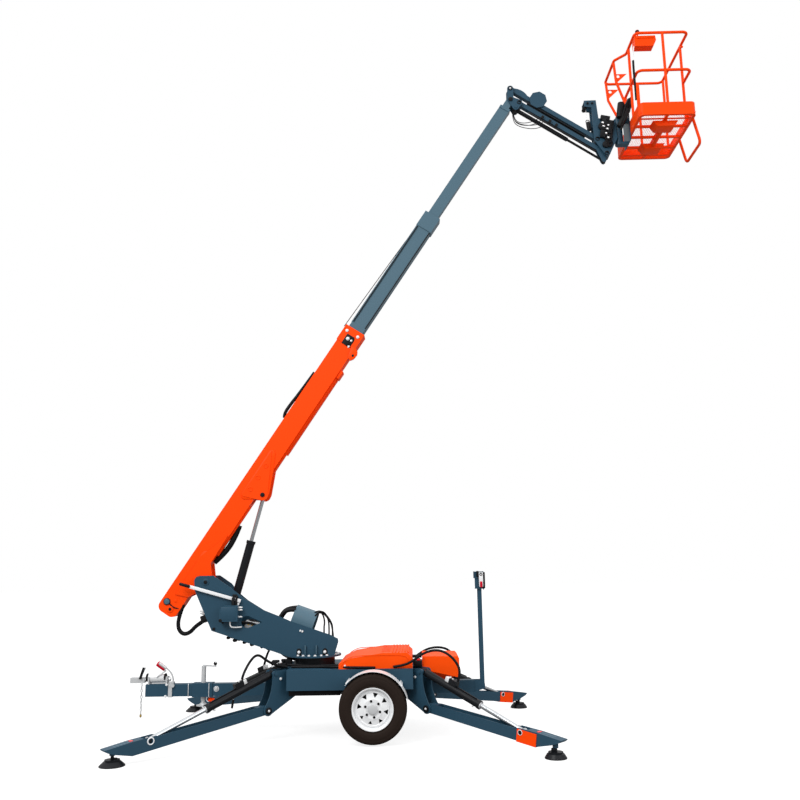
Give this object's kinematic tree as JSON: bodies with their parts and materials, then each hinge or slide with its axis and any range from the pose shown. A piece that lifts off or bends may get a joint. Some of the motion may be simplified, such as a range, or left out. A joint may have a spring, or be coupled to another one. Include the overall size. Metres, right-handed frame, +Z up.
{
  "type": "trailer boom lift",
  "caption": "Towable work platform: trailer chassis with folding outriggers, a slewing turret, a telescopic boom with a parallel jib, and a turning basket.",
  "frame": {"origin": "on the ground, below the middle of the outline as it stands with the outriggers down and the boom raised", "axes": "+Z up, the tow bar points to -X and the raised boom to +X, +Y to the right of the machine as it is towed"},
  "size_m": [6.348, 3.1, 7.666],
  "materials": {
    "black_paint": "new",
    "chrome": "new",
    "grey_plastic": "new",
    "orange_paint": "new",
    "orange_shell": "new",
    "pale_steel": "new",
    "slate_paint": "new",
    "tyre": "new",
    "white_paint": "new",
    "zinc": "new"
  },
  "bodies": {
    "chassis": {"chassis_frame": "slate_paint", "drawbar": "slate_paint", "coupling": "zinc", "handbrake": "zinc", "safety_chain": "zinc", "jack_tube": "zinc", "axle": "black_paint", "mudguards": "pale_steel", "slew_bearing": "black_paint", "rear_cover": "orange_shell", "power_unit": "black_paint"},
    "wheel_left": {"tyre_left": "tyre", "wheel_left": "white_paint"},
    "wheel_right": {"tyre_right": "tyre", "wheel_right": "white_paint"},
    "arm_front_left": {"arm_front_left": "slate_paint", "foot_front_left": "black_paint"},
    "barrel_front_left": {"barrel_front_left": "black_paint"},
    "rod_front_left": {"rod_front_left": "chrome"},
    "arm_front_right": {"arm_front_right": "slate_paint", "foot_front_right": "black_paint"},
    "barrel_front_right": {"barrel_front_right": "black_paint"},
    "rod_front_right": {"rod_front_right": "chrome"},
    "arm_rear_left": {"arm_rear_left": "slate_paint", "foot_rear_left": "black_paint", "sleeve_rear_left": "orange_paint"},
    "barrel_rear_left": {"barrel_rear_left": "black_paint"},
    "rod_rear_left": {"rod_rear_left": "chrome"},
    "arm_rear_right": {"arm_rear_right": "slate_paint", "foot_rear_right": "black_paint", "sleeve_rear_right": "orange_paint"},
    "barrel_rear_right": {"barrel_rear_right": "black_paint"},
    "rod_rear_right": {"rod_rear_right": "chrome"},
    "jack_leg": {"jack_leg": "zinc"},
    "boom_rest": {"boom_rest": "slate_paint"},
    "power_cover": {"power_cover": "orange_shell"},
    "turret": {"turret_frame": "slate_paint", "turret_box": "grey_plastic", "hose_cover": "slate_paint"},
    "lift_barrel": {"lift_barrel": "black_paint"},
    "lift_rod": {"lift_rod": "chrome"},
    "boom_base": {"boom_base": "orange_paint"},
    "boom_mid": {"boom_mid": "slate_paint"},
    "boom_inner": {"boom_inner": "slate_paint"},
    "knuckle": {"knuckle": "slate_paint"},
    "jib_upper": {"jib_upper": "slate_paint"},
    "jib_lower": {"jib_lower": "slate_paint"},
    "jib_barrel": {"jib_barrel": "black_paint"},
    "jib_rod": {"jib_rod": "chrome"},
    "jib_head": {"jib_head": "slate_paint"},
    "basket": {"basket_mount": "slate_paint", "basket_frame": "orange_paint", "basket_floor": "orange_paint", "floor_panels": "orange_paint", "platform_box": "orange_shell"}
  },
  "joints": [
    {"name": "wheel_left_spin", "type": "hinge", "parent": "chassis", "child": "wheel_left", "pos_m": [-0.615, -0.7, 0.337], "axis": [0, 1, 0], "continuous": true},
    {"name": "wheel_right_spin", "type": "hinge", "parent": "chassis", "child": "wheel_right", "pos_m": [-0.615, 0.7, 0.337], "axis": [0, 1, 0], "continuous": true},
    {"name": "arm_front_left_raise", "type": "hinge", "parent": "chassis", "child": "arm_front_left", "pos_m": [-1.701, -0.461, 0.295], "axis": [-0.6428, 0.766, 0], "range_deg": [-8, 85]},
    {"name": "barrel_front_left_swing", "type": "hinge", "parent": "chassis", "child": "barrel_front_left", "pos_m": [-1.63818, -0.40829, 0.636], "axis": [-0.6428, 0.766, 0], "range_deg": [-12, 90]},
    {"name": "rod_front_left_stroke", "type": "slide", "parent": "barrel_front_left", "child": "rod_front_left", "axis": [-0.72, -0.6041, -0.3416], "range_m": [-0.5, 0.06]},
    {"name": "arm_front_right_raise", "type": "hinge", "parent": "chassis", "child": "arm_front_right", "pos_m": [-1.701, 0.461, 0.295], "axis": [0.6428, 0.766, 0], "range_deg": [-8, 85]},
    {"name": "barrel_front_right_swing", "type": "hinge", "parent": "chassis", "child": "barrel_front_right", "pos_m": [-1.63818, 0.40829, 0.636], "axis": [0.6428, 0.766, 0], "range_deg": [-12, 90]},
    {"name": "rod_front_right_stroke", "type": "slide", "parent": "barrel_front_right", "child": "rod_front_right", "axis": [-0.72, 0.6041, -0.3416], "range_m": [-0.5, 0.06]},
    {"name": "arm_rear_left_raise", "type": "hinge", "parent": "chassis", "child": "arm_rear_left", "pos_m": [-0.054, -0.461, 0.295], "axis": [-0.6428, -0.766, 0], "range_deg": [-8, 85]},
    {"name": "barrel_rear_left_swing", "type": "hinge", "parent": "chassis", "child": "barrel_rear_left", "pos_m": [-0.11682, -0.40829, 0.636], "axis": [-0.6428, -0.766, 0], "range_deg": [-12, 90]},
    {"name": "rod_rear_left_stroke", "type": "slide", "parent": "barrel_rear_left", "child": "rod_rear_left", "axis": [0.7146, -0.5996, -0.3604], "range_m": [-0.5, 0.06]},
    {"name": "arm_rear_right_raise", "type": "hinge", "parent": "chassis", "child": "arm_rear_right", "pos_m": [-0.054, 0.461, 0.295], "axis": [0.6428, -0.766, 0], "range_deg": [-8, 85]},
    {"name": "barrel_rear_right_swing", "type": "hinge", "parent": "chassis", "child": "barrel_rear_right", "pos_m": [-0.11682, 0.40829, 0.636], "axis": [0.6428, -0.766, 0], "range_deg": [-12, 90]},
    {"name": "rod_rear_right_stroke", "type": "slide", "parent": "barrel_rear_right", "child": "rod_rear_right", "axis": [0.7146, 0.5996, -0.3604], "range_m": [-0.5, 0.06]},
    {"name": "jack_leg_lower", "type": "slide", "parent": "chassis", "child": "jack_leg", "axis": [0, 0, -1], "range_m": [0, 0.26]},
    {"name": "boom_rest_fold", "type": "hinge", "parent": "chassis", "child": "boom_rest", "pos_m": [0.495, 0, 0.44], "axis": [0, 1, 0], "range_deg": [0, 90]},
    {"name": "power_cover_open", "type": "hinge", "parent": "chassis", "child": "power_cover", "pos_m": [-0.615, 0.45, 0.692], "axis": [-1, 0, 0], "range_deg": [0, 85]},
    {"name": "turret_slew", "type": "hinge", "parent": "chassis", "child": "turret", "pos_m": [-1.26, 0, 0.764], "axis": [0, 0, 1], "range_deg": [-175, 175]},
    {"name": "boom_lift", "type": "hinge", "parent": "turret", "child": "boom_base", "pos_m": [-2.396, 0, 1.541], "axis": [0, -1, 0], "range_deg": [-56.4, 13]},
    {"name": "lift_barrel_swing", "type": "hinge", "parent": "turret", "child": "lift_barrel", "pos_m": [-2.156, 0, 1.194], "axis": [0, -1, 0], "range_deg": [-60, 20]},
    {"name": "lift_rod_stroke", "type": "slide", "parent": "lift_barrel", "child": "lift_rod", "axis": [0.2575, 0, 0.9663], "range_m": [-0.42, 0.14]},
    {"name": "boom_mid_slide", "type": "slide", "parent": "boom_base", "child": "boom_mid", "axis": [0.5534, 0, 0.8329], "range_m": [-1.4, 1]},
    {"name": "boom_inner_slide", "type": "slide", "parent": "boom_mid", "child": "boom_inner", "axis": [0.5534, 0, 0.8329], "range_m": [-1.4, 1]},
    {"name": "knuckle_level", "type": "hinge", "parent": "boom_inner", "child": "knuckle", "pos_m": [1.05329, 0, 7.08317], "axis": [0, -1, 0], "range_deg": [-20, 60]},
    {"name": "jib_lift", "type": "hinge", "parent": "knuckle", "child": "jib_lower", "pos_m": [1.15429, 0, 7.04117], "axis": [0, -1, 0], "range_deg": [-8, 104]},
    {"name": "jib_upper_swing", "type": "hinge", "parent": "knuckle", "child": "jib_upper", "pos_m": [1.05529, 0, 7.22417], "axis": [0, -1, 0], "range_deg": [-8, 104]},
    {"name": "jib_head_level", "type": "hinge", "parent": "jib_lower", "child": "jib_head", "pos_m": [2.14879, 0, 6.36784], "axis": [0, -1, 0], "range_deg": [-104, 8]},
    {"name": "jib_barrel_swing", "type": "hinge", "parent": "knuckle", "child": "jib_barrel", "pos_m": [1.11129, 0, 6.98417], "axis": [0, -1, 0], "range_deg": [-10, 110]},
    {"name": "jib_rod_stroke", "type": "slide", "parent": "jib_barrel", "child": "jib_rod", "axis": [0.8264, 0, -0.5631], "range_m": [-0.02, 0.12]},
    {"name": "basket_turn", "type": "hinge", "parent": "jib_head", "child": "basket", "pos_m": [2.315, 0, 6.66], "axis": [0, 0, 1], "range_deg": [-90, 90]}
  ],
  "couplings": [
    {"joint": "barrel_front_left_swing", "follows": "arm_front_left_raise", "ratio": 1.0286},
    {"joint": "rod_front_left_stroke", "follows": "arm_front_left_raise", "m_per_rad": -0.3147},
    {"joint": "barrel_front_right_swing", "follows": "arm_front_right_raise", "ratio": 1.0286},
    {"joint": "rod_front_right_stroke", "follows": "arm_front_right_raise", "m_per_rad": -0.3147},
    {"joint": "barrel_rear_left_swing", "follows": "arm_rear_left_raise", "ratio": 1.0245},
    {"joint": "rod_rear_left_stroke", "follows": "arm_rear_left_raise", "m_per_rad": -0.3178},
    {"joint": "barrel_rear_right_swing", "follows": "arm_rear_right_raise", "ratio": 1.0245},
    {"joint": "rod_rear_right_stroke", "follows": "arm_rear_right_raise", "m_per_rad": -0.3178},
    {"joint": "lift_barrel_swing", "follows": "boom_lift", "ratio": 0.8709},
    {"joint": "lift_rod_stroke", "follows": "boom_lift", "m_per_rad": 0.3783},
    {"joint": "boom_inner_slide", "follows": "boom_mid_slide", "ratio": 1},
    {"joint": "knuckle_level", "follows": "boom_lift", "ratio": -1},
    {"joint": "jib_upper_swing", "follows": "jib_lift", "ratio": 1},
    {"joint": "jib_head_level", "follows": "jib_lift", "ratio": -1},
    {"joint": "jib_barrel_swing", "follows": "jib_lift", "ratio": 0.9654},
    {"joint": "jib_rod_stroke", "follows": "jib_lift", "m_per_rad": 0.0453}
  ]
}
